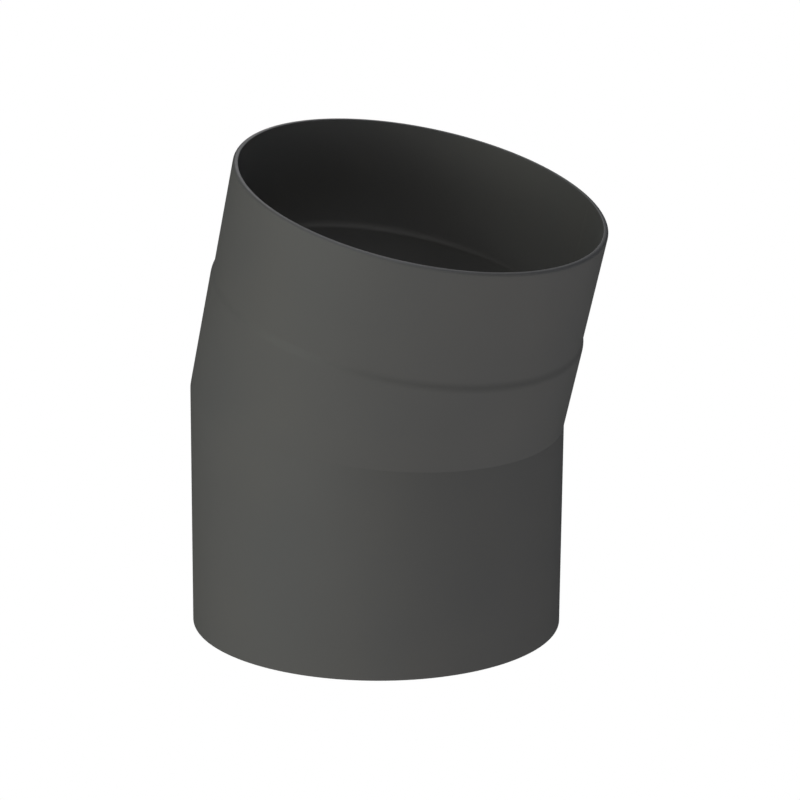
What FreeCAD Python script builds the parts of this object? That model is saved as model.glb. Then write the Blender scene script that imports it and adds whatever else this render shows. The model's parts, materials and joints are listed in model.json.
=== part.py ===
import FreeCAD, Part
import math
import os

import Sketcher

# A flue elbow of 2 mm steel plate: two rolled tubes, cut at half the bend angle and butt welded.
# The free end of the upper tube is drawn in to a neck that enters the next piece of flue.
#
# Frame: the origin is the centre of the lower opening, +Z runs up the lower tube's axis, and the
# upper tube leans towards +X. Each tube is made in a frame of its own, with its axis on Z and the
# point where the two axes meet at the origin, and is then placed in the elbow.

# Driving dimensions, in millimetres and degrees: the cell's alias, its value, what it measures.
DIMENSIONS = (
    ("body_diameter", 150.0, "outside diameter of both tubes"),
    ("plate_thickness", 2.0, "thickness of the plate, the same all along the wall"),
    ("bend_angle", 15.0, "angle between the axes of the two tubes"),
    ("lower_leg", 91.5, "from the lower opening to where the axes meet"),
    ("upper_leg", 91.5, "from where the axes meet to the rim of the neck"),
    ("neck_step", 0.8, "how far the neck is drawn in, on the radius"),
    ("neck_length", 44.7, "straight part of the neck, which enters the next pipe"),
    ("shoulder_length", 4.5, "height of the shoulder between the body and the neck"),
    ("mouth_rounding", 1.1, "radius on the outer edge of the neck's rim"),
    ("edge_break", 0.2, "chamfer on the edges that are only deburred"),
    ("mitre_weld_width", 3.0, "width of the weld between the two tubes"),
    ("seam_weld_width", 2.0, "width of the weld along each tube"),
    ("lower_seam_angle", 125.0, "where the lower tube's seam lies, round its axis from +X"),
    ("upper_seam_angle", 65.0, "where the upper tube's seam lies, round its axis from +X"),
)

document = FreeCAD.newDocument("flue_elbow")
sheet = document.addObject("Spreadsheet::Sheet", "sheet")
for row, (alias, value, meaning) in enumerate(DIMENSIONS, start=1):
    sheet.set(f"A{row}", meaning)
    sheet.set(f"B{row}", str(value))
    sheet.setAlias(f"B{row}", alias)
document.recompute()


def size(alias):
    """A driving dimension's value, for the first drawing of a sketch."""
    return float(sheet.get(alias))


def add(kind, name, expressions):
    """Add an object to the document and bind its properties to the sheet."""
    item = document.addObject(kind, name)
    item.Label = name
    for prop, expression in expressions.items():
        item.setExpression(prop, expression)
    return item


# ---- wall sections: sketches with the distance from the tube's axis as X and the height as Y

# Point positions in a Sketcher constraint, and the sketch's own origin.
START, END, CENTRE = 1, 2, 3
ORIGIN = (-1, 1)


def line(start, end):
    """A straight edge between two (distance, height) points."""
    return Part.LineSegment(FreeCAD.Vector(*start, 0), FreeCAD.Vector(*end, 0))


def arc(centre, radius, first_angle, last_angle):
    """An arc drawn anticlockwise, its angles in radians."""
    circle = Part.Circle(FreeCAD.Vector(*centre, 0), FreeCAD.Vector(0, 0, 1), radius)
    return Part.ArcOfCircle(circle, first_angle, last_angle)


def section_sketch(body, name, edges, relations, dimensions):
    """Draw a wall section on the body's XZ plane and bind its dimensions to the sheet."""
    sketch = body.newObject("Sketcher::SketchObject", name)
    plane = next(item for item in body.Origin.OriginFeatures if item.Role == "XZ_Plane")
    sketch.AttachmentSupport = [(plane, "")]
    sketch.MapMode = "FlatFace"
    sketch.addGeometry(edges, False)
    sketch.addConstraint([Sketcher.Constraint(*relation) for relation in relations])
    for label, kind, between, value, expression in dimensions:
        index = sketch.addConstraint(Sketcher.Constraint(kind, *between, value))
        sketch.renameConstraint(index, label)
        sketch.setExpression(f"Constraints.{label}", expression)
    document.recompute()
    return sketch


def revolve(body, sketch, name):
    """Turn a wall section once round the tube's axis."""
    revolution = body.newObject("PartDesign::Revolution", name)
    revolution.Profile = sketch
    revolution.ReferenceAxis = (sketch, ["V_Axis"])
    revolution.Angle = 360
    document.recompute()
    return revolution


# Two lengths this close, in millimetres, are the same length.
SAME_LENGTH = 1e-6


def finish_rim(body, kind, name, base, height, radii, prop, alias):
    """Round or break the circular edges at one height and on the given radii."""
    edges = []
    for number, edge in enumerate(base.Shape.Edges, start=1):
        if not isinstance(edge.Curve, Part.Circle):
            continue
        level = abs(edge.Curve.Center.z - height) < SAME_LENGTH
        if level and any(abs(edge.Curve.Radius - radius) < SAME_LENGTH for radius in radii):
            edges.append(f"Edge{number}")
    finish = body.newObject(kind, name)
    finish.Base = (base, edges)
    finish.setExpression(prop, f"sheet.{alias}")
    document.recompute()
    return finish


outer_radius = size("body_diameter") / 2
inner_radius = outer_radius - size("plate_thickness")

# Both tubes are drawn past the point where the axes meet, and the mitre cut takes that length off.
overrun = outer_radius
BODY_RADIUS = "sheet.body_diameter / 2"

# ---- lower tube: plain plate, rolled to a tube, its lower edge cut square and deburred

lower_foot = -size("lower_leg")
OUTSIDE, CUT_END, INSIDE, FOOT = range(4)
lower_body = add("PartDesign::Body", "lower_blank", {})
lower_section = section_sketch(
    lower_body,
    "lower_wall_section",
    edges=[
        line((outer_radius, lower_foot), (outer_radius, overrun)),
        line((outer_radius, overrun), (inner_radius, overrun)),
        line((inner_radius, overrun), (inner_radius, lower_foot)),
        line((inner_radius, lower_foot), (outer_radius, lower_foot)),
    ],
    relations=[
        ("Coincident", OUTSIDE, END, CUT_END, START),
        ("Coincident", CUT_END, END, INSIDE, START),
        ("Coincident", INSIDE, END, FOOT, START),
        ("Coincident", FOOT, END, OUTSIDE, START),
        ("Vertical", OUTSIDE),
        ("Horizontal", CUT_END),
        ("Vertical", INSIDE),
        ("Horizontal", FOOT),
    ],
    dimensions=[
        ("radius", "DistanceX", (*ORIGIN, OUTSIDE, START), outer_radius, BODY_RADIUS),
        (
            "wall",
            "DistanceX",
            (FOOT, START, FOOT, END),
            size("plate_thickness"),
            "sheet.plate_thickness",
        ),
        ("leg", "DistanceY", (OUTSIDE, START, *ORIGIN), size("lower_leg"), "sheet.lower_leg"),
        ("overrun", "DistanceY", (*ORIGIN, OUTSIDE, END), overrun, BODY_RADIUS),
    ],
)
lower_wall = revolve(lower_body, lower_section, "lower_wall")
finish_rim(
    lower_body,
    "PartDesign::Chamfer",
    "lower_edge_break",
    lower_wall,
    lower_foot,
    (outer_radius, inner_radius),
    "Size",
    "edge_break",
)

# ---- upper tube: the same plate, its free end drawn in through a shoulder of two equal bends.
# The bore follows the outside at one plate's distance, so the shoulder shows inside as well.

rim = size("upper_leg")
neck_radius = outer_radius - size("neck_step")
neck_bore_radius = neck_radius - size("plate_thickness")
shoulder_top = rim - size("neck_length")
shoulder_foot = shoulder_top - size("shoulder_length")
bend_radius = (size("shoulder_length") ** 2 + size("neck_step") ** 2) / (4 * size("neck_step"))
bend_turn = 2 * math.atan2(size("neck_step"), size("shoulder_length"))
foot_bend = (outer_radius - bend_radius, shoulder_foot)
top_bend = (neck_radius + bend_radius, shoulder_top)

BODY_OUTSIDE, FOOT_OUTSIDE, TOP_OUTSIDE, NECK_OUTSIDE, RIM = range(5)
NECK_INSIDE, TOP_INSIDE, FOOT_INSIDE, BODY_INSIDE, BODY_END = range(5, 10)
upper_body = add("PartDesign::Body", "upper_blank", {})
upper_section = section_sketch(
    upper_body,
    "upper_wall_section",
    edges=[
        line((outer_radius, -overrun), (outer_radius, shoulder_foot)),
        arc(foot_bend, bend_radius, 0, bend_turn),
        arc(top_bend, bend_radius, math.pi, math.pi + bend_turn),
        line((neck_radius, shoulder_top), (neck_radius, rim)),
        line((neck_radius, rim), (neck_bore_radius, rim)),
        line((neck_bore_radius, rim), (neck_bore_radius, shoulder_top)),
        arc(top_bend, bend_radius + size("plate_thickness"), math.pi, math.pi + bend_turn),
        arc(foot_bend, bend_radius - size("plate_thickness"), 0, bend_turn),
        line((inner_radius, shoulder_foot), (inner_radius, -overrun)),
        line((inner_radius, -overrun), (outer_radius, -overrun)),
    ],
    relations=[
        ("Tangent", BODY_OUTSIDE, END, FOOT_OUTSIDE, START),
        ("Tangent", FOOT_OUTSIDE, END, TOP_OUTSIDE, END),
        ("Tangent", TOP_OUTSIDE, START, NECK_OUTSIDE, START),
        ("Coincident", NECK_OUTSIDE, END, RIM, START),
        ("Coincident", RIM, END, NECK_INSIDE, START),
        ("Tangent", NECK_INSIDE, END, TOP_INSIDE, START),
        ("Tangent", TOP_INSIDE, END, FOOT_INSIDE, END),
        ("Tangent", FOOT_INSIDE, START, BODY_INSIDE, START),
        ("Coincident", BODY_INSIDE, END, BODY_END, START),
        ("Coincident", BODY_END, END, BODY_OUTSIDE, START),
        ("Coincident", FOOT_OUTSIDE, CENTRE, FOOT_INSIDE, CENTRE),
        ("Coincident", TOP_OUTSIDE, CENTRE, TOP_INSIDE, CENTRE),
        ("Equal", FOOT_OUTSIDE, TOP_OUTSIDE),
        ("Vertical", BODY_OUTSIDE),
        ("Vertical", NECK_OUTSIDE),
        ("Vertical", NECK_INSIDE),
        ("Vertical", BODY_INSIDE),
        ("Horizontal", RIM),
        ("Horizontal", BODY_END),
    ],
    dimensions=[
        ("radius", "DistanceX", (*ORIGIN, BODY_OUTSIDE, START), outer_radius, BODY_RADIUS),
        (
            "wall",
            "DistanceX",
            (BODY_END, START, BODY_END, END),
            size("plate_thickness"),
            "sheet.plate_thickness",
        ),
        (
            "neck_radius",
            "DistanceX",
            (*ORIGIN, NECK_OUTSIDE, START),
            neck_radius,
            f"{BODY_RADIUS} - sheet.neck_step",
        ),
        ("leg", "DistanceY", (*ORIGIN, RIM, START), rim, "sheet.upper_leg"),
        (
            "neck",
            "DistanceY",
            (NECK_OUTSIDE, START, NECK_OUTSIDE, END),
            size("neck_length"),
            "sheet.neck_length",
        ),
        (
            "shoulder",
            "DistanceY",
            (BODY_OUTSIDE, END, NECK_OUTSIDE, START),
            size("shoulder_length"),
            "sheet.shoulder_length",
        ),
        ("overrun", "DistanceY", (BODY_OUTSIDE, START, *ORIGIN), overrun, BODY_RADIUS),
    ],
)
upper_wall = revolve(upper_body, upper_section, "upper_wall")
mouth = finish_rim(
    upper_body,
    "PartDesign::Fillet",
    "mouth_rounding",
    upper_wall,
    rim,
    (neck_radius,),
    "Radius",
    "mouth_rounding",
)
finish_rim(
    upper_body,
    "PartDesign::Chamfer",
    "mouth_edge_break",
    mouth,
    rim,
    (neck_bore_radius,),
    "Size",
    "edge_break",
)

# ---- mitre cuts, mitre weld and seams, made the same way on both tubes.
# The mitre plane passes through the point where the axes meet, square to the line that halves
# the bend. A tube ends half a weld short of it, and the weld fills the wall between the two ends.
# A seam is a strip of the tube's own wall, so it is flush outside and in the bore.

Y_AXIS = "0; 1; 0"
Z_AXIS = "0; 0; 1"


def placed(x, y, z, axis, angle):
    """A placement's expression: a turn about an axis through the origin, then a move."""
    turn = f"create(<<rotation>>; create(<<vector>>; {axis}); {angle})"
    return {"Placement": f"create(<<placement>>; create(<<vector>>; {x}; {y}; {z}); {turn})"}


def disc(name, tilt, offset, thickness):
    """A disc wider than a tube, parallel to the mitre plane and offset from it."""
    return add(
        "Part::Cylinder",
        name,
        {
            "Radius": "sheet.body_diameter",
            "Height": thickness,
            **placed(f"({offset}) * sin({tilt})", 0, f"({offset}) * cos({tilt})", Y_AXIS, tilt),
        },
    )


def boolean(kind, name, base, tool, placement):
    """Cut an object, or keep what two objects share, and place the result."""
    result = add(kind, name, placement)
    result.Base = base
    result.Tool = tool
    result.Refine = True
    return result


def make_leg(side, blank, tilt, strip_foot, waste_foot, slab_foot, placement):
    """Cut one tube to its mitre, split off its seam weld and return its half of the mitre weld."""
    waste = disc(f"{side}_mitre_waste", tilt, waste_foot, "sheet.body_diameter")
    mitred = boolean("Part::Cut", f"{side}_mitred", blank, waste, {})
    angle = f"sheet.{side}_seam_angle"
    strip = add(
        "Part::Box",
        f"{side}_seam_strip",
        {
            "Length": "sheet.body_diameter",
            "Width": "sheet.seam_weld_width",
            "Height": f"sheet.{side}_leg + sheet.body_diameter",
            **placed(
                f"sheet.seam_weld_width / 2 * sin({angle})",
                f"-sheet.seam_weld_width / 2 * cos({angle})",
                strip_foot,
                Z_AXIS,
                angle,
            ),
        },
    )
    boolean("Part::Cut", f"{side}_tube", mitred, strip, placement)
    boolean("Part::Common", f"{side}_seam_weld", mitred, strip, placement)
    slab = disc(f"{side}_weld_slab", tilt, slab_foot, "sheet.mitre_weld_width / 2")
    return boolean("Part::Common", f"{side}_weld_half", blank, slab, placement)


lower_half = make_leg(
    "lower",
    lower_body,
    tilt="sheet.bend_angle / 2",
    strip_foot=f"-sheet.lower_leg - {BODY_RADIUS}",
    waste_foot="-sheet.mitre_weld_width / 2",
    slab_foot="-sheet.mitre_weld_width / 2",
    placement=placed(0, 0, "sheet.lower_leg", Y_AXIS, 0),
)
upper_half = make_leg(
    "upper",
    upper_body,
    tilt="-sheet.bend_angle / 2",
    strip_foot=f"-{BODY_RADIUS}",
    waste_foot="sheet.mitre_weld_width / 2 - sheet.body_diameter",
    slab_foot="0",
    placement=placed(0, 0, "sheet.lower_leg", Y_AXIS, "sheet.bend_angle"),
)
boolean("Part::Fuse", "mitre_weld", lower_half, upper_half, {})

# ---- check every object, then write the pieces

PIECES = ("lower_tube", "upper_tube", "mitre_weld", "lower_seam_weld", "upper_seam_weld")

document.recompute()
for item in document.Objects:
    if "Invalid" in item.State or "Error" in item.State:
        raise RuntimeError(f"{item.Label} failed to build: {item.State}")

shapes = {label: document.getObjectsByLabel(label)[0].Shape for label in PIECES}
for label, shape in shapes.items():
    if shape.isNull() or not shape.isValid() or len(shape.Solids) != 1:
        raise RuntimeError(f"{label} is not one valid solid")
    print(f"{label}: {shape.Volume:.1f} mm3")

os.makedirs("parts", exist_ok=True)
for label, shape in shapes.items():
    shape.exportStep(f"parts/{label}.step")
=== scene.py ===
import json
import math

import bmesh
import bpy
from mathutils import Matrix, Vector


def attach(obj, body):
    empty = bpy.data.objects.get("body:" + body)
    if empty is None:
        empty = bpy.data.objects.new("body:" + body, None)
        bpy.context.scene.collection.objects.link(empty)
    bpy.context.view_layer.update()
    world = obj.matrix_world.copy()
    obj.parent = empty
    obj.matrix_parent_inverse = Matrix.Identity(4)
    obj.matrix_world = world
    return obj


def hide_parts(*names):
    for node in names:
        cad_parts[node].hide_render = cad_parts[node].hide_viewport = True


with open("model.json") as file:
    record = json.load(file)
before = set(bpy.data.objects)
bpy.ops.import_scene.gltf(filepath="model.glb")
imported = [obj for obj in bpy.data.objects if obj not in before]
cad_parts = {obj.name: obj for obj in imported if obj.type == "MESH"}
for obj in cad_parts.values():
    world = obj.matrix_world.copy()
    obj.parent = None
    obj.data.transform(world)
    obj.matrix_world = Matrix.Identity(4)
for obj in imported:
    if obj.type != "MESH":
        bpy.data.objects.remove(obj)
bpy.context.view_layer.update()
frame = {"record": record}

# Flue elbow for a stove or boiler: two short tubes of 2 mm steel plate, welded together at a mitre
# that turns the flue by 15 degrees. The upper end is drawn in to a neck that enters the next pipe.
# Lengths are in metres. The lower opening's centre is the origin and the lower tube stands on +Z.

# ---- Lower tube
# The plain leg, which slips over the appliance's collar. 2 mm mild steel plate is rolled round
# until its long edges almost meet; the foot is cut square and deburred, and the top is cut on the
# slant for the mitre weld. Matt charcoal stove paint is sprayed on after all the welding.

mounts = {mount["name"]: mount for mount in frame["record"]["mounts"]}
neck_axis = Vector(mounts["neck"]["axis"])
neck_middle = Vector(mounts["neck"]["pos_m"])

PLATE = 0.002
EDGE_BREAK = 0.0002
MITRE_WELD_WIDTH = 0.003
SEAM_WELD_WIDTH = 0.002
LOWER_SEAM_ANGLE = math.radians(125)

bore_radius = mounts["lower_socket"]["dims"]["r_mm"] / 1000
body_radius = bore_radius + PLATE
bend = math.atan2(neck_axis.x, neck_axis.z)
meeting_height = neck_middle.z - neck_middle.x / math.tan(bend)

# Each tube is drawn about its own axis, with the point where the two axes meet at height 0. The
# mitre plane leans by half the bend, and each tube stops half a weld short of it.
mitre_slope = math.tan(bend / 2)
mitre_gap = MITRE_WELD_WIDTH / 2 / math.cos(bend / 2)


def turn_points(centre, radius, first, last, steps):
    """Points round an arc, both ends included; a centre and a point are (radius, height)."""
    across, up = centre
    turns = [first + (last - first) * step / steps for step in range(steps + 1)]
    return [(across + radius * math.cos(turn), up + radius * math.sin(turn)) for turn in turns]


def wall_outline(name, points, slants, edges):
    """The closed outline of a wall's section, as a loop of edges that carries its own sizes.

    A slant of 1 makes a point follow the mitre plane, and an edge of 1 marks a corner of the plate.
    """
    outline = bpy.data.meshes.new(name)
    count = len(points)
    loop = [(number, (number + 1) % count) for number in range(count)]
    outline.from_pydata([(radius, height, 0) for radius, height in points], loop, [])
    columns = {
        "section_radius": [radius for radius, height in points],
        "section_height": [height for radius, height in points],
        "slant": slants,
        "plate_edge": edges,
    }
    for label, values in columns.items():
        outline.attributes.new(label, "FLOAT", "POINT").data.foreach_set("value", values)
    return outline


HOLD = 0.0006      # a second point this close to a bend keeps the flat wall beside it flat
FINE_BREAK = 4     # steps round a deburred edge

foot = -meeting_height
foot_outside = (body_radius - EDGE_BREAK, foot + EDGE_BREAK)
foot_inside = (bore_radius + EDGE_BREAK, foot + EDGE_BREAK)
lower_outline = [
    (body_radius, -mitre_gap),
    (body_radius, -mitre_gap - HOLD),
    (body_radius, foot + EDGE_BREAK + HOLD),
    *turn_points(foot_outside, EDGE_BREAK, 0, -math.pi / 2, FINE_BREAK),
    *turn_points(foot_inside, EDGE_BREAK, -math.pi / 2, -math.pi, FINE_BREAK),
    (bore_radius, foot + EDGE_BREAK + HOLD),
    (bore_radius, -mitre_gap - HOLD),
    (bore_radius, -mitre_gap),
]
lower_section = wall_outline(
    "lower_wall_section",
    lower_outline,
    slants=[1.0 if height > -mitre_gap - 2 * HOLD else 0.0 for radius, height in lower_outline],
    edges=[1.0 if height < foot + EDGE_BREAK / 2 else 0.0 for radius, height in lower_outline],
)


def new_tree(name, kind, inputs, outputs):
    """A node tree with named sockets; returns it with its group input and output nodes."""
    tree = bpy.data.node_groups.new(name, kind)
    for label, socket in inputs.items():
        tree.interface.new_socket(label, in_out="INPUT", socket_type=socket)
    for label, socket in outputs.items():
        tree.interface.new_socket(label, in_out="OUTPUT", socket_type=socket)
    return tree, tree.nodes.new("NodeGroupInput"), tree.nodes.new("NodeGroupOutput")


def feed(tree, node, feeds):
    """Link a node's inputs to sockets, or set them to plain values."""
    for label, value in feeds.items():
        if isinstance(value, bpy.types.NodeSocket):
            tree.links.new(value, node.inputs[label])
        else:
            node.inputs[label].default_value = value


def add_node(tree, kind, feeds=None, **settings):
    """Add a node, set its properties, and set or link the inputs that feeds names."""
    node = tree.nodes.new(kind)
    for label, value in settings.items():
        setattr(node, label, value)
    feed(tree, node, feeds or {})
    return node


def maths(tree, operation, first, second=0.0, third=0.0):
    """The result of a Math node whose terms are sockets or numbers."""
    terms = {0: first, 1: second, 2: third}
    return add_node(tree, "ShaderNodeMath", terms, operation=operation).outputs[0]


def own_value(tree, label):
    """A number that the outline's points carry."""
    feeds = {"Name": label}
    return add_node(tree, "GeometryNodeInputNamedAttribute", feeds, data_type="FLOAT").outputs[0]


def vector(tree, across, depth, height):
    """A vector from three sockets or numbers."""
    return add_node(tree, "ShaderNodeCombineXYZ", {0: across, 1: depth, 2: height}).outputs[0]


def spread_along(tree, curve):
    """Store how far along its curve each point lies, from 0 to 1, for use after the sweep."""
    part = add_node(tree, "GeometryNodeSplineParameter").outputs["Factor"]
    feeds = {"Geometry": curve, "Name": "turn", "Value": part}
    store = add_node(tree, "GeometryNodeStoreNamedAttribute", feeds, data_type="FLOAT")
    return store.outputs[0]


CRISP_ANGLE = math.radians(24)     # faces that meet at a sharper angle keep a crisp corner


def finish_tree(tree, geometry, material, output):
    """Smooth the faces, keep corners of the plate crisp, paint the piece and put it out."""
    smooth = add_node(tree, "GeometryNodeSetShadeSmooth", {"Geometry": geometry}, domain="FACE")
    angle = add_node(tree, "GeometryNodeInputMeshEdgeAngle").outputs["Unsigned Angle"]
    soft = maths(tree, "LESS_THAN", angle, CRISP_ANGLE)
    feeds = {"Geometry": smooth.outputs[0], "Shade Smooth": soft}
    crisp = add_node(tree, "GeometryNodeSetShadeSmooth", feeds, domain="EDGE")
    real = add_node(tree, "GeometryNodeRealizeInstances", {"Geometry": crisp.outputs[0]})
    feeds = {"Geometry": real.outputs[0], "Material": material}
    painted = add_node(tree, "GeometryNodeSetMaterial", feeds)
    tree.links.new(painted.outputs[0], output.inputs[0])


# The rolling: the section is swept along a straight line and then bent round the tube's axis, from
# one side of the seam gap to the other, and stood in its place in the elbow.
rolling, sizes, result = new_tree(
    "rolled_tube_wall",
    "GeometryNodeTree",
    {
        "Section": "NodeSocketGeometry",
        "Seam Angle": "NodeSocketFloat",
        "Seam Width": "NodeSocketFloat",
        "Mitre Slope": "NodeSocketFloat",
        "Lean": "NodeSocketFloat",
        "Meeting Height": "NodeSocketFloat",
        "Facets": "NodeSocketInt",
        "Paint": "NodeSocketMaterial",
    },
    {"Wall": "NodeSocketGeometry"},
)
size = sizes.outputs
section = add_node(rolling, "GeometryNodeMeshToCurve", {"Mesh": size["Section"]}).outputs[0]
path = add_node(rolling, "GeometryNodeCurvePrimitiveLine").outputs[0]
count = maths(rolling, "ADD", size["Facets"], 1)
path = add_node(rolling, "GeometryNodeResampleCurve", {"Curve": path, "Count": count}).outputs[0]
sweep = add_node(
    rolling,
    "GeometryNodeCurveToMesh",
    {"Curve": spread_along(rolling, path), "Profile Curve": section, "Fill Caps": True},
)
radius = own_value(rolling, "section_radius")
half_width = maths(rolling, "MULTIPLY", size["Seam Width"], 0.5)
half_gap = maths(rolling, "ARCSINE", maths(rolling, "DIVIDE", half_width, radius))
wrap = maths(rolling, "SUBTRACT", 2 * math.pi, maths(rolling, "MULTIPLY", half_gap, 2))
start = maths(rolling, "ADD", size["Seam Angle"], half_gap)
angle = maths(rolling, "MULTIPLY_ADD", own_value(rolling, "turn"), wrap, start)
east = maths(rolling, "MULTIPLY", radius, maths(rolling, "COSINE", angle))
north = maths(rolling, "MULTIPLY", radius, maths(rolling, "SINE", angle))
slope = maths(rolling, "MULTIPLY", own_value(rolling, "slant"), size["Mitre Slope"])
height = maths(rolling, "MULTIPLY_ADD", slope, east, own_value(rolling, "section_height"))
feeds = {"Geometry": sweep.outputs[0], "Position": vector(rolling, east, north, height)}
bent = add_node(rolling, "GeometryNodeSetPosition", feeds)
feeds = {
    "Geometry": bent.outputs[0],
    "Translation": vector(rolling, 0, 0, size["Meeting Height"]),
    "Rotation": vector(rolling, 0, size["Lean"], 0),
}
stood = add_node(rolling, "GeometryNodeTransform", feeds)
finish_tree(rolling, stood.outputs[0], size["Paint"], result)


# The paint: heat-resistant stove paint. Sprayed on, it dries dead matt, with a fine sandy grain, a
# soft orange peel and slow drifts of tone where the passes of the gun overlap.
paint, given, put = new_tree(
    "stove_paint_film",
    "ShaderNodeTree",
    {
        "Position": "NodeSocketVector",
        "Warm Tone": "NodeSocketColor",
        "Cool Tone": "NodeSocketColor",
        "Drift Size": "NodeSocketFloat",
        "Drift Amount": "NodeSocketFloat",
        "Grain Size": "NodeSocketFloat",
        "Grain Amount": "NodeSocketFloat",
        "Roughness": "NodeSocketFloat",
        "Roughness Spread": "NodeSocketFloat",
    },
    {"Colour": "NodeSocketColor", "Roughness": "NodeSocketFloat", "Height": "NodeSocketFloat"},
)

NOISE_ROUGHNESS = 0.55


def noise(tree, position, blotch, detail, shift):
    """Noise between about 0 and 1 whose blotches are one size across, moved to a place of its own."""
    scale = maths(tree, "DIVIDE", 1, blotch)
    feeds = {"Vector": position, "Location": (shift, -shift, shift)}
    moved = add_node(tree, "ShaderNodeMapping", feeds).outputs[0]
    feeds = {"Vector": moved, "Scale": scale, "Detail": detail, "Roughness": NOISE_ROUGHNESS}
    return add_node(tree, "ShaderNodeTexNoise", feeds).outputs["Fac"]


COLOUR_A, COLOUR_B, COLOUR_OUT = 6, 7, 2    # a Mix node's sockets for colours


def blend(tree, share, first, second):
    """Two colours mixed by a share of the second."""
    feeds = {"Factor": share, COLOUR_A: first, COLOUR_B: second}
    return add_node(tree, "ShaderNodeMix", feeds, data_type="RGBA").outputs[COLOUR_OUT]


def about_zero(tree, pattern):
    """A noise moved down so that it swings to both sides of 0."""
    return maths(tree, "SUBTRACT", pattern, 0.5)


TONE_CONTRAST = 2.2
PEEL_SIZE = 6      # one wave of the orange peel is this many grains across
PEEL_HEIGHT = 2    # and this many times as high as a grain

given = given.outputs
spot = given["Position"]
drift = noise(paint, spot, given["Drift Size"], detail=2, shift=0.31)
tone = noise(paint, spot, given["Drift Size"], detail=1, shift=0.77)
grain = noise(paint, spot, given["Grain Size"], detail=3, shift=0.13)
peel_size = maths(paint, "MULTIPLY", given["Grain Size"], PEEL_SIZE)
peel = noise(paint, spot, peel_size, detail=1, shift=0.53)
share = maths(paint, "MULTIPLY_ADD", about_zero(paint, tone), TONE_CONTRAST, 0.5)
hue = blend(paint, share, given["Cool Tone"], given["Warm Tone"])
lift = maths(paint, "MULTIPLY", about_zero(paint, drift), given["Drift Amount"])
speck = maths(paint, "MULTIPLY", about_zero(paint, grain), given["Grain Amount"])
level = maths(paint, "ADD", 1, maths(paint, "ADD", lift, speck))
shade = add_node(paint, "ShaderNodeVectorMath", {0: hue, "Scale": level}, operation="SCALE")
paint.links.new(shade.outputs[0], put.inputs["Colour"])
spread = maths(paint, "MULTIPLY", about_zero(paint, drift), given["Roughness Spread"])
roughness = maths(paint, "ADD", given["Roughness"], spread)
paint.links.new(roughness, put.inputs["Roughness"])
height = maths(paint, "MULTIPLY_ADD", peel, PEEL_HEIGHT, grain)
paint.links.new(height, put.inputs["Height"])


WARM_CHARCOAL = (0.098, 0.096, 0.091, 1)
COOL_CHARCOAL = (0.092, 0.092, 0.090, 1)
FILM_DEPTH = 0.000002


def painted_steel(name, drift_amount, roughness):
    """A matt stove paint finish; returns the material, with its nodes named film and bump."""
    material = bpy.data.materials.new(name)
    material.use_nodes = True
    tree = material.node_tree
    shader = tree.nodes["Principled BSDF"]
    feeds = {
        "Position": add_node(tree, "ShaderNodeTexCoord").outputs["Object"],
        "Warm Tone": WARM_CHARCOAL,
        "Cool Tone": COOL_CHARCOAL,
        "Drift Size": 0.045,
        "Drift Amount": drift_amount,
        "Grain Size": 0.0007,
        "Grain Amount": 0.06,
        "Roughness": roughness,
        "Roughness Spread": 0.12,
    }
    film = add_node(tree, "ShaderNodeGroup", node_tree=paint, name="film")
    feed(tree, film, feeds)
    feeds = {"Height": film.outputs["Height"], "Distance": FILM_DEPTH, "Strength": 1.0}
    bump = add_node(tree, "ShaderNodeBump", feeds, name="bump")
    tree.links.new(film.outputs["Colour"], shader.inputs["Base Color"])
    tree.links.new(film.outputs["Roughness"], shader.inputs["Roughness"])
    tree.links.new(bump.outputs[0], shader.inputs["Normal"])
    return material


tube_paint = painted_steel("tube_stove_paint", drift_amount=0.05, roughness=0.6)

# On the corners of the plate the film is thin and handling has polished it a little.
RUBBED_GREY = (0.135, 0.134, 0.131, 1)
RUB_AMOUNT = 0.35
RUB_PATCHES = 260    # about this many patches in a metre
RUB_POLISH = -0.3    # a rubbed film is less rough

tree = tube_paint.node_tree
film = tree.nodes["film"].outputs
corner = add_node(tree, "ShaderNodeAttribute", attribute_name="plate_edge").outputs["Fac"]
place = add_node(tree, "ShaderNodeTexCoord").outputs["Object"]
patchy = add_node(tree, "ShaderNodeTexNoise", {"Vector": place, "Scale": RUB_PATCHES, "Detail": 2})
rub = maths(tree, "MULTIPLY", corner, maths(tree, "MULTIPLY", patchy.outputs["Fac"], RUB_AMOUNT))
rubbed = {
    "Base Color": blend(tree, rub, film["Colour"], RUBBED_GREY),
    "Roughness": maths(tree, "MULTIPLY_ADD", rub, RUB_POLISH, film["Roughness"]),
}
feed(tree, tree.nodes["Principled BSDF"], rubbed)


def make_piece(name, outline, tree, settings):
    """Run a tree on an outline and keep the result as a plain closed mesh with outward faces."""
    piece = bpy.data.objects.new(name, outline)
    bpy.context.scene.collection.objects.link(piece)
    modifier = piece.modifiers.new(tree.name, "NODES")
    modifier.node_group = tree
    for item in tree.interface.items_tree:
        if item.in_out == "INPUT" and item.name in settings:
            modifier[item.identifier] = settings[item.name]
    graph = bpy.context.evaluated_depsgraph_get()
    mesh = bpy.data.meshes.new_from_object(piece.evaluated_get(graph), depsgraph=graph)
    piece.modifiers.remove(modifier)
    piece.data = mesh
    mesh.name = name
    shell = bmesh.new()
    shell.from_mesh(mesh)
    bmesh.ops.recalc_face_normals(shell, faces=shell.faces)
    shell.to_mesh(mesh)
    shell.free()
    return piece


FACETS = 288

lower_tube = make_piece(
    "lower_tube_rolled",
    lower_section,
    rolling,
    {
        "Seam Angle": LOWER_SEAM_ANGLE,
        "Seam Width": SEAM_WELD_WIDTH,
        "Mitre Slope": -mitre_slope,
        "Lean": 0.0,
        "Meeting Height": meeting_height,
        "Facets": FACETS,
        "Paint": tube_paint,
    },
)
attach(lower_tube, "root")
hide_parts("lower_tube")

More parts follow.
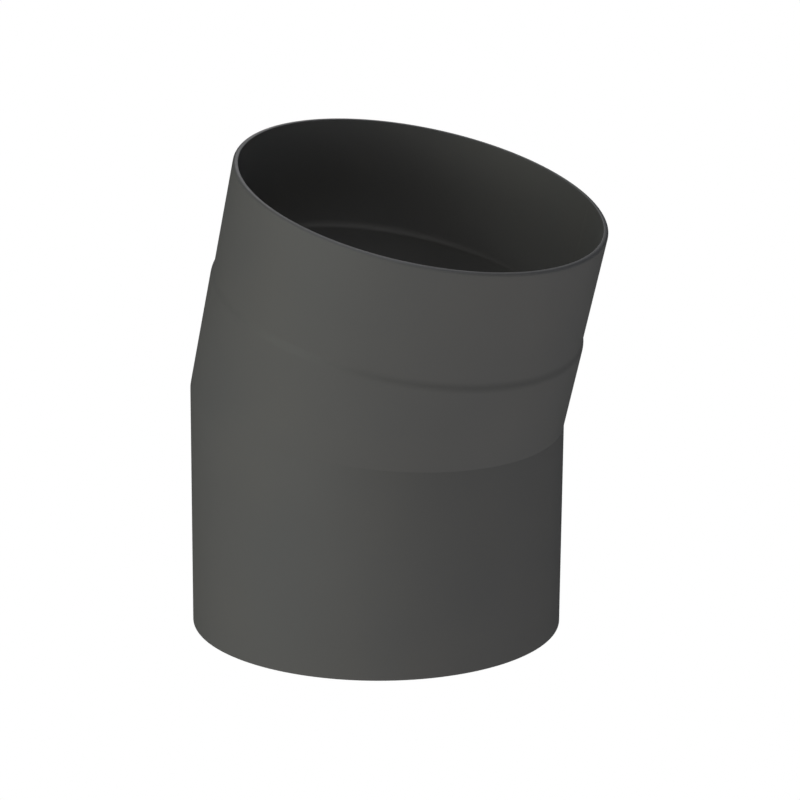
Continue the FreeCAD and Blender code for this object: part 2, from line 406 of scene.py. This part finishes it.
# ---- Upper tube
# The leaning leg, rolled from the same plate. Its free end is drawn in by 0.8 mm through a shoulder
# of two equal bends, which leaves a straight neck that enters the next pipe as far as the shoulder.
# The neck's outer corner is rounded so that it finds its way in.

NECK_LENGTH = 0.0447
SHOULDER_LENGTH = 0.0045
MOUTH_ROUNDING = 0.0011
UPPER_SEAM_ANGLE = math.radians(65)
SHOULDER_STEPS = 8
ROUNDING_STEPS = 8

neck_radius = mounts["neck"]["dims"]["r_mm"] / 1000
neck_bore_radius = neck_radius - PLATE
neck_step = body_radius - neck_radius
rim = neck_middle.x / neck_axis.x + mounts["neck"]["dims"]["length_mm"] / 2000 + MOUTH_ROUNDING
shoulder_top = rim - NECK_LENGTH
shoulder_foot = shoulder_top - SHOULDER_LENGTH
shoulder_bend = (SHOULDER_LENGTH**2 + neck_step**2) / (4 * neck_step)
shoulder_turn = 2 * math.atan2(neck_step, SHOULDER_LENGTH)
foot_bend = (body_radius - shoulder_bend, shoulder_foot)
top_bend = (neck_radius + shoulder_bend, shoulder_top)
mouth_outside = (neck_radius - MOUTH_ROUNDING, rim - MOUTH_ROUNDING)
mouth_inside = (neck_bore_radius + EDGE_BREAK, rim - EDGE_BREAK)

upper_outline = [
    (body_radius, mitre_gap),
    (body_radius, mitre_gap + HOLD),
    (body_radius, shoulder_foot - HOLD),
    *turn_points(foot_bend, shoulder_bend, 0, shoulder_turn, SHOULDER_STEPS),
    *turn_points(top_bend, shoulder_bend, math.pi + shoulder_turn, math.pi, SHOULDER_STEPS)[1:],
    (neck_radius, shoulder_top + HOLD),
    (neck_radius, rim - MOUTH_ROUNDING - HOLD),
    *turn_points(mouth_outside, MOUTH_ROUNDING, 0, math.pi / 2, ROUNDING_STEPS),
    *turn_points(mouth_inside, EDGE_BREAK, math.pi / 2, math.pi, FINE_BREAK),
    (neck_bore_radius, rim - EDGE_BREAK - HOLD),
    (neck_bore_radius, shoulder_top + HOLD),
    *turn_points(top_bend, shoulder_bend + PLATE, math.pi, math.pi + shoulder_turn, SHOULDER_STEPS),
    *turn_points(foot_bend, shoulder_bend - PLATE, shoulder_turn, 0, SHOULDER_STEPS)[1:],
    (bore_radius, shoulder_foot - HOLD),
    (bore_radius, mitre_gap + HOLD),
    (bore_radius, mitre_gap),
]
upper_section = wall_outline(
    "upper_wall_section",
    upper_outline,
    slants=[1.0 if height < mitre_gap + 2 * HOLD else 0.0 for radius, height in upper_outline],
    edges=[1.0 if height > rim - EDGE_BREAK / 2 else 0.0 for radius, height in upper_outline],
)
upper_tube = make_piece(
    "upper_tube_rolled",
    upper_section,
    rolling,
    {
        "Seam Angle": UPPER_SEAM_ANGLE,
        "Seam Width": SEAM_WELD_WIDTH,
        "Mitre Slope": mitre_slope,
        "Lean": bend,
        "Meeting Height": meeting_height,
        "Facets": FACETS,
        "Paint": tube_paint,
    },
)
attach(upper_tube, "root")
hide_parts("upper_tube")

# ---- Mitre weld
# The butt weld that joins the two tubes right round the slanting cut. It goes through the full
# plate and is ground flush inside and out, so all that shows is the crisp line where the two
# tubes change direction, with the faint hollows that a flap disc leaves.

GRINDING_DEPTH = 0.00004
HOLLOW_SIZE = 0.014

half_weld = MITRE_WELD_WIDTH / 2
stations = [half_weld * share for share in (-1, -0.6, -0.25, -0.07, 0, 0.07, 0.25, 0.6, 1)]
weld_outline = [(body_radius, station) for station in stations]
weld_outline += [(bore_radius, station) for station in reversed(stations)]
weld_section = wall_outline(
    "mitre_weld_section",
    weld_outline,
    slants=[1.0] * len(weld_outline),
    edges=[0.0] * len(weld_outline),
)

# The section's height is measured square to the mitre plane: below it the weld follows the lower
# tube, and above it the upper tube, so the two halves meet in the plane.
joining, sizes, result = new_tree(
    "mitre_weld_ring",
    "GeometryNodeTree",
    {
        "Section": "NodeSocketGeometry",
        "Half Bend": "NodeSocketFloat",
        "Meeting Height": "NodeSocketFloat",
        "Grinding Depth": "NodeSocketFloat",
        "Hollow Size": "NodeSocketFloat",
        "Half Width": "NodeSocketFloat",
        "Facets": "NodeSocketInt",
        "Paint": "NodeSocketMaterial",
    },
    {"Weld": "NodeSocketGeometry"},
)
size = sizes.outputs
section = add_node(joining, "GeometryNodeMeshToCurve", {"Mesh": size["Section"]}).outputs[0]
ring = add_node(joining, "GeometryNodeCurvePrimitiveCircle", {"Resolution": size["Facets"]})
sweep = add_node(
    joining,
    "GeometryNodeCurveToMesh",
    {"Curve": spread_along(joining, ring.outputs[0]), "Profile Curve": section},
)
angle = maths(joining, "MULTIPLY", own_value(joining, "turn"), 2 * math.pi)
off_plane = own_value(joining, "section_height")
radius = own_value(joining, "section_radius")
cosine = maths(joining, "COSINE", angle)
sine = maths(joining, "SINE", angle)

# The hollows fade out towards the weld's two edges and leave the bore as it is.
around = maths(joining, "DIVIDE", radius, size["Hollow Size"])
trail_east = maths(joining, "MULTIPLY", cosine, around)
trail_north = maths(joining, "MULTIPLY", sine, around)
trail = vector(joining, trail_east, trail_north, 0)
hollows = add_node(joining, "ShaderNodeTexNoise", {"Vector": trail, "Scale": 1.0, "Detail": 1.0})
near = maths(joining, "ABSOLUTE", maths(joining, "DIVIDE", off_plane, size["Half Width"]))
fade = maths(joining, "SUBTRACT", 1, near)
outside = maths(joining, "GREATER_THAN", radius, (body_radius + bore_radius) / 2)
depth = maths(joining, "MULTIPLY", maths(joining, "MULTIPLY", fade, outside), size["Grinding Depth"])
hollow = maths(joining, "MULTIPLY", depth, hollows.outputs["Fac"])
radius = maths(joining, "SUBTRACT", radius, hollow)

east = maths(joining, "MULTIPLY", radius, cosine)
north = maths(joining, "MULTIPLY", radius, sine)
tangent = maths(joining, "TANGENT", size["Half Bend"])
tilt = maths(joining, "MULTIPLY", east, tangent)
rise = maths(joining, "DIVIDE", off_plane, maths(joining, "COSINE", size["Half Bend"]))
below = maths(joining, "SUBTRACT", rise, tilt)
above = maths(joining, "ADD", rise, tilt)
lean = maths(joining, "MULTIPLY", size["Half Bend"], 2)
feeds = {
    "Vector": vector(joining, east, north, above),
    "Rotation": vector(joining, 0, lean, 0),
}
leaned = add_node(joining, "ShaderNodeVectorRotate", feeds, rotation_type="EULER_XYZ").outputs[0]
over = maths(joining, "GREATER_THAN", off_plane, 0)
VECTOR_A, VECTOR_B, VECTOR_OUT = 4, 5, 1    # a Mix node's sockets for vectors
feeds = {"Factor": over, VECTOR_A: vector(joining, east, north, below), VECTOR_B: leaned}
choice = add_node(joining, "ShaderNodeMix", feeds, data_type="VECTOR")
feeds = {
    "Geometry": sweep.outputs[0],
    "Position": choice.outputs[VECTOR_OUT],
    "Offset": vector(joining, 0, 0, size["Meeting Height"]),
}
placed = add_node(joining, "GeometryNodeSetPosition", feeds)
finish_tree(joining, placed.outputs[0], size["Paint"], result)

# The same paint over ground metal. The disc's fine scratches run up and down and still show
# through the film, so they get a group of their own, which the seam's paint uses too.
grinding, given, put = new_tree(
    "disc_scratches",
    "ShaderNodeTree",
    {
        "Position": "NodeSocketVector",
        "Scratch Width": "NodeSocketFloat",
        "Scratch Length": "NodeSocketFloat",
        "Film Height": "NodeSocketFloat",
        "Scratch Share": "NodeSocketFloat",
    },
    {"Height": "NodeSocketFloat"},
)
given = given.outputs
narrow = maths(grinding, "DIVIDE", 1, given["Scratch Width"])
long = maths(grinding, "DIVIDE", 1, given["Scratch Length"])
feeds = {"Vector": given["Position"], "Scale": vector(grinding, narrow, narrow, long)}
stretched = add_node(grinding, "ShaderNodeMapping", feeds).outputs[0]
streaks = add_node(grinding, "ShaderNodeTexNoise", {"Vector": stretched, "Scale": 1.0, "Detail": 2.0})
scratched = maths(grinding, "MULTIPLY", streaks.outputs["Fac"], given["Scratch Share"])
height = maths(grinding, "ADD", given["Film Height"], scratched)
grinding.links.new(height, put.inputs["Height"])


def add_scratches(material, share):
    """Let the grinding show through a paint film's bump."""
    tree = material.node_tree
    feeds = {
        "Position": add_node(tree, "ShaderNodeTexCoord").outputs["Object"],
        "Scratch Width": 0.0003,
        "Scratch Length": 0.004,
        "Film Height": tree.nodes["film"].outputs["Height"],
        "Scratch Share": share,
    }
    marks = add_node(tree, "ShaderNodeGroup", node_tree=grinding)
    feed(tree, marks, feeds)
    tree.links.new(marks.outputs["Height"], tree.nodes["bump"].inputs["Height"])


mitre_paint = painted_steel("mitre_weld_stove_paint", drift_amount=0.05, roughness=0.6)
add_scratches(mitre_paint, share=1.5)
mitre_weld = make_piece(
    "mitre_weld_ground",
    weld_section,
    joining,
    {
        "Half Bend": bend / 2,
        "Meeting Height": meeting_height,
        "Grinding Depth": GRINDING_DEPTH,
        "Hollow Size": HOLLOW_SIZE,
        "Half Width": half_weld,
        "Facets": FACETS,
        "Paint": mitre_paint,
    },
)
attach(mitre_weld, "root")
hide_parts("mitre_weld")

# ---- Seam welds
# One straight butt weld closes each tube along its length, at the back of the elbow. Outside it
# stands a little proud, with the close ripples that the torch leaves; it is ground flush where
# another pipe has to slide, on the neck and at the foot, and where the mitre weld crosses it.

CROWN = 0.0004
RIPPLE_PITCH = 0.0011
RIPPLE_DEPTH = 0.00007
RIPPLE_LAG = 0.55    # how far a ripple's ends lag behind its middle, in ripples
STATIONS_PER_RIPPLE = 7
FLUSH_FOOT = 0.006
FLUSH_MITRE = 0.004
FADE = 0.005
SLANT_REACH = 0.002


def stand_back(distance, rounding):
    """How far a rounded corner stands back from its face, at a distance from the end of the wall."""
    short = max(rounding - distance, 0.0)
    return rounding - math.sqrt(max(rounding**2 - short**2, 0.0))


def seam_line(name, wall, ends, proud_ends, mitre_end):
    """The line that a seam weld follows up its tube, with the wall's two radii at every height.

    The bead stands proud between the proud ends, and slants to the mitre plane at the mitre end.
    """
    low, high = ends
    count = round((high - low) * STATIONS_PER_RIPPLE / RIPPLE_PITCH)
    heights = [low + (high - low) * number / count for number in range(count + 1)]
    line = bpy.data.meshes.new(name)
    chain = [(number, number + 1) for number in range(count)]
    line.from_pydata([(0, 0, height) for height in heights], chain, [])
    walls = [wall(height) for height in heights]
    proud = [min(height - proud_ends[0], proud_ends[1] - height) / FADE for height in heights]
    columns = {
        "outside": [outside for outside, inside in walls],
        "inside": [inside for outside, inside in walls],
        "proud": [min(max(share, 0.0), 1.0) for share in proud],
        "slant": [max(1 - abs(height - mitre_end) / SLANT_REACH, 0.0) for height in heights],
        "run": [height - low for height in heights],
    }
    for label, values in columns.items():
        line.attributes.new(label, "FLOAT", "POINT").data.foreach_set("value", values)
    return line


# The bead: a rectangle as wide as the seam is swept up the line. Across the outside it gets a
# crown and curved ripples, as a weld pool freezes.
BEAD_CUTS = 7

beading, sizes, result = new_tree(
    "seam_weld_bead",
    "GeometryNodeTree",
    {
        "Seam Line": "NodeSocketGeometry",
        "Seam Angle": "NodeSocketFloat",
        "Seam Width": "NodeSocketFloat",
        "Crown": "NodeSocketFloat",
        "Ripple Pitch": "NodeSocketFloat",
        "Ripple Depth": "NodeSocketFloat",
        "Mitre Slope": "NodeSocketFloat",
        "Mitre East": "NodeSocketFloat",
        "Lean": "NodeSocketFloat",
        "Meeting Height": "NodeSocketFloat",
        "Paint": "NodeSocketMaterial",
    },
    {"Bead": "NodeSocketGeometry"},
)
size = sizes.outputs
path = add_node(beading, "GeometryNodeMeshToCurve", {"Mesh": size["Seam Line"]}).outputs[0]

# The rectangle runs from -1 to 1 across the weld and from -0.5 to 0.5 through the plate.
box = add_node(beading, "GeometryNodeCurvePrimitiveQuadrilateral", {"Width": 2.0, "Height": 1.0})
box = add_node(beading, "GeometryNodeSubdivideCurve", {"Curve": box.outputs[0], "Cuts": BEAD_CUTS})
feeds = {
    "Geometry": box.outputs[0],
    "Name": "corner",
    "Value": add_node(beading, "GeometryNodeInputPosition").outputs[0],
}
box = add_node(beading, "GeometryNodeStoreNamedAttribute", feeds, data_type="FLOAT_VECTOR")
feeds = {"Curve": path, "Profile Curve": box.outputs[0], "Fill Caps": True}
sweep = add_node(beading, "GeometryNodeCurveToMesh", feeds)
feeds = {"Name": "corner"}
corner = add_node(beading, "GeometryNodeInputNamedAttribute", feeds, data_type="FLOAT_VECTOR")
corner = add_node(beading, "ShaderNodeSeparateXYZ", {0: corner.outputs[0]})
across = corner.outputs["X"]
outward = maths(beading, "ADD", corner.outputs["Y"], 0.5)
bow = maths(beading, "SUBTRACT", 1, maths(beading, "MULTIPLY", across, across))
laps = maths(beading, "DIVIDE", own_value(beading, "run"), size["Ripple Pitch"])
lag = maths(beading, "MULTIPLY_ADD", bow, -RIPPLE_LAG, laps)
ripple = maths(beading, "SINE", maths(beading, "MULTIPLY", lag, 2 * math.pi))
bead = maths(beading, "MULTIPLY_ADD", ripple, size["Ripple Depth"], size["Crown"])
bead = maths(beading, "MULTIPLY", maths(beading, "MULTIPLY", bead, bow), own_value(beading, "proud"))
wall = maths(beading, "SUBTRACT", own_value(beading, "outside"), own_value(beading, "inside"))
wall = maths(beading, "ADD", wall, bead)
radius = maths(beading, "MULTIPLY_ADD", wall, outward, own_value(beading, "inside"))
sideways = maths(beading, "MULTIPLY", across, maths(beading, "MULTIPLY", size["Seam Width"], 0.5))
radius_squared = maths(beading, "MULTIPLY", radius, radius)
sideways_squared = maths(beading, "MULTIPLY", sideways, sideways)
reach = maths(beading, "SQRT", maths(beading, "SUBTRACT", radius_squared, sideways_squared))
cosine = maths(beading, "COSINE", size["Seam Angle"])
sine = maths(beading, "SINE", size["Seam Angle"])
cross_east = maths(beading, "MULTIPLY", sideways, sine)
cross_north = maths(beading, "MULTIPLY", sideways, cosine)
east = maths(beading, "SUBTRACT", maths(beading, "MULTIPLY", reach, cosine), cross_east)
north = maths(beading, "ADD", maths(beading, "MULTIPLY", reach, sine), cross_north)

# The end at the mitre is cut on the slant, and the points just before it lean with the cut.
height = add_node(beading, "GeometryNodeInputPosition").outputs[0]
height = add_node(beading, "ShaderNodeSeparateXYZ", {0: height}).outputs["Z"]
off_line = maths(beading, "SUBTRACT", east, size["Mitre East"])
slope = maths(beading, "MULTIPLY", own_value(beading, "slant"), size["Mitre Slope"])
height = maths(beading, "MULTIPLY_ADD", slope, off_line, height)
feeds = {"Geometry": sweep.outputs[0], "Position": vector(beading, east, north, height)}
bent = add_node(beading, "GeometryNodeSetPosition", feeds)
feeds = {
    "Geometry": bent.outputs[0],
    "Translation": vector(beading, 0, 0, size["Meeting Height"]),
    "Rotation": vector(beading, 0, size["Lean"], 0),
}
stood = add_node(beading, "GeometryNodeTransform", feeds)
finish_tree(beading, stood.outputs[0], size["Paint"], result)


def lower_wall(height):
    """The lower wall's outside and inside radius at a height from the meeting point."""
    back = stand_back(height - foot, EDGE_BREAK)
    return body_radius - back, bore_radius + back


def bent_wall(height, offset):
    """The upper wall's radius at a height, on the line that lies an offset inside the outside."""
    middle = shoulder_foot + (shoulder_bend - offset) * math.sin(shoulder_turn)
    if height <= shoulder_foot:
        return body_radius - offset
    if height < middle:
        rise = height - shoulder_foot
        return body_radius - shoulder_bend + math.sqrt((shoulder_bend - offset) ** 2 - rise**2)
    if height < shoulder_top:
        drop = shoulder_top - height
        return neck_radius + shoulder_bend - math.sqrt((shoulder_bend + offset) ** 2 - drop**2)
    return neck_radius - offset


def upper_wall(height):
    """The upper wall's outside and inside radius at a height from the meeting point."""
    outside = bent_wall(height, 0) - stand_back(rim - height, MOUTH_ROUNDING)
    inside = bent_wall(height, PLATE) + stand_back(rim - height, EDGE_BREAK)
    return outside, inside


seam_paint = painted_steel("seam_weld_stove_paint", drift_amount=0.06, roughness=0.56)
add_scratches(seam_paint, share=0.6)

lower_east = body_radius * math.cos(LOWER_SEAM_ANGLE)
upper_east = body_radius * math.cos(UPPER_SEAM_ANGLE)
lower_top = -mitre_slope * lower_east - mitre_gap
upper_foot = mitre_slope * upper_east + mitre_gap
lower_line = seam_line(
    "lower_seam_line",
    lower_wall,
    ends=(foot, lower_top),
    proud_ends=(foot + FLUSH_FOOT, lower_top - FLUSH_MITRE),
    mitre_end=lower_top,
)
upper_line = seam_line(
    "upper_seam_line",
    upper_wall,
    ends=(upper_foot, rim),
    proud_ends=(upper_foot + FLUSH_MITRE, shoulder_foot),
    mitre_end=upper_foot,
)
seams = (
    ("lower", lower_line, LOWER_SEAM_ANGLE, -mitre_slope, lower_east, 0.0),
    ("upper", upper_line, UPPER_SEAM_ANGLE, mitre_slope, upper_east, bend),
)
for side, line, seam_angle, slope, east, lean in seams:
    seam_weld = make_piece(
        f"{side}_seam_bead",
        line,
        beading,
        {
            "Seam Angle": seam_angle,
            "Seam Width": SEAM_WELD_WIDTH,
            "Crown": CROWN,
            "Ripple Pitch": RIPPLE_PITCH,
            "Ripple Depth": RIPPLE_DEPTH,
            "Mitre Slope": slope,
            "Mitre East": east,
            "Lean": lean,
            "Meeting Height": meeting_height,
            "Paint": seam_paint,
        },
    )
    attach(seam_weld, "root")
    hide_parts(f"{side}_seam_weld")

# ---- Studio
# The elbow stands on a white lit table before a white backdrop. Most of its light comes up from the
# table, so the mouth stays dark; soft boxes stand to the front left, overhead, behind and at the
# right. The table shines little on the paint, and the foot shades the table inside it.

TABLE_SIZE = 12
TABLE_LIGHT = 1.10
TABLE_SHINE = 0.07
UNDER_FOOT_LIGHT = 0.93


def glow(tree, source, output, lit, shine):
    """Plain white light to the eye, which lights the paint and shines on it by strengths of its own."""
    tree.nodes.clear()
    rays = add_node(tree, "ShaderNodeLightPath").outputs
    strength = maths(tree, "MULTIPLY_ADD", rays["Is Diffuse Ray"], lit, rays["Is Camera Ray"])
    strength = maths(tree, "MULTIPLY_ADD", rays["Is Glossy Ray"], shine, strength)
    lamp = add_node(tree, source, {"Color": (1, 1, 1, 1), "Strength": strength})
    add_node(tree, output, {"Surface": lamp.outputs[0]})


def lit_sheet(name, corners, lit, shine):
    """A flat white sheet that glows and casts no shadow of its own."""
    sheet = bpy.data.meshes.new(name)
    sheet.from_pydata(corners, [], [tuple(range(len(corners)))])
    white = bpy.data.materials.new(name)
    white.use_nodes = True
    glow(white.node_tree, "ShaderNodeEmission", "ShaderNodeOutputMaterial", lit, shine)
    white.cycles.emission_sampling = "NONE"
    sheet.materials.append(white)
    stand = bpy.data.objects.new(name, sheet)
    bpy.context.scene.collection.objects.link(stand)


half = TABLE_SIZE / 2
table_corners = [(-half, -half, 0), (half, -half, 0), (half, half, 0), (-half, half, 0)]
lit_sheet("lit_table", table_corners, TABLE_LIGHT, TABLE_SHINE)

DISC_POINTS = 64
DISC_HEIGHT = 0.0003
disc_turns = [2 * math.pi * number / DISC_POINTS for number in range(DISC_POINTS)]
disc_corners = [
    (bore_radius * math.cos(turn), bore_radius * math.sin(turn), DISC_HEIGHT) for turn in disc_turns
]
lit_sheet("table_under_foot", disc_corners, UNDER_FOOT_LIGHT, UNDER_FOOT_LIGHT)

room = bpy.data.worlds.new("white_room")
room.use_nodes = True
glow(room.node_tree, "ShaderNodeBackground", "ShaderNodeOutputWorld", lit=0.0, shine=0.0)
room.cycles.sampling_method = "NONE"
bpy.context.scene.world = room

# The view: from between the front and the throat's side, a little above, through a long lens.
VIEW_AZIMUTH = math.radians(44.51)
VIEW_ELEVATION = math.radians(15.18)
VIEW_ROLL = math.radians(0.457)
VIEW_DISTANCE = 14.761 * body_radius
VIEW_ASIDE = 0.1203 * body_radius
VIEW_RAISED = 0.0023 * body_radius
VIEW_LENS = 123.92
right = Vector((math.cos(VIEW_AZIMUTH), math.sin(VIEW_AZIMUTH), 0))
ahead = Vector((-right.y, right.x, 0)) * math.cos(VIEW_ELEVATION)
ahead.z = -math.sin(VIEW_ELEVATION)
above = right.cross(ahead)
target = VIEW_ASIDE * right + Vector((0, 0, meeting_height + VIEW_RAISED))
camera_right = right * math.cos(VIEW_ROLL) + above * math.sin(VIEW_ROLL)
camera_above = above * math.cos(VIEW_ROLL) - right * math.sin(VIEW_ROLL)
lens = bpy.data.cameras.new("view")
lens.sensor_width = 36
lens.lens = VIEW_LENS
camera = bpy.data.objects.new("view", lens)
bpy.context.scene.collection.objects.link(camera)
stance = Matrix((camera_right, camera_above, -ahead)).transposed().to_4x4()
stance.translation = target - VIEW_DISTANCE * ahead
camera.matrix_world = stance
bpy.context.scene.camera = camera


BOX_SIZE = 0.5
BOX_DISTANCE = 1.6


def soft_box(name, bearing, rise, power, tint):
    """A square soft box aimed at the elbow, its place in degrees.

    The bearing runs from the view's right hand, past the camera at 90, to its left hand at 180.
    """
    light = bpy.data.lights.new(name, "AREA")
    light.shape = "SQUARE"
    light.size = BOX_SIZE
    light.energy = power
    light.color = tint
    stand = bpy.data.objects.new(name, light)
    bpy.context.scene.collection.objects.link(stand)
    turn = math.radians(bearing)
    climb = math.radians(rise)
    behind = Vector((-right.y, right.x, 0))
    outward = right * math.cos(turn) - behind * math.sin(turn)
    outward = outward * math.cos(climb) + Vector((0, 0, math.sin(climb)))
    middle = Vector((0, 0, meeting_height))
    stand.location = middle + BOX_DISTANCE * outward
    stand.rotation_euler = (-outward).to_track_quat("-Z", "Y").to_euler()


# Each box's bearing, rise, power in watts and tint.
soft_box("key_low", 150, 10, 3.55, (0.93, 1.0, 0.88))
soft_box("key_front", 125, 12, 2.6, (1.0, 0.99, 0.96))
soft_box("left_high", 160, 35, 2.75, (0.96, 1.0, 0.88))
soft_box("overhead", 90, 80, 7.8, (0.87, 0.90, 1.0))
soft_box("back_high", 270, 40, 3.5, (1.0, 0.99, 1.0))
soft_box("right_edge", -10, 10, 0.5, (0.5, 0.7, 1.0))

bpy.context.scene.view_settings.view_transform = "Standard"
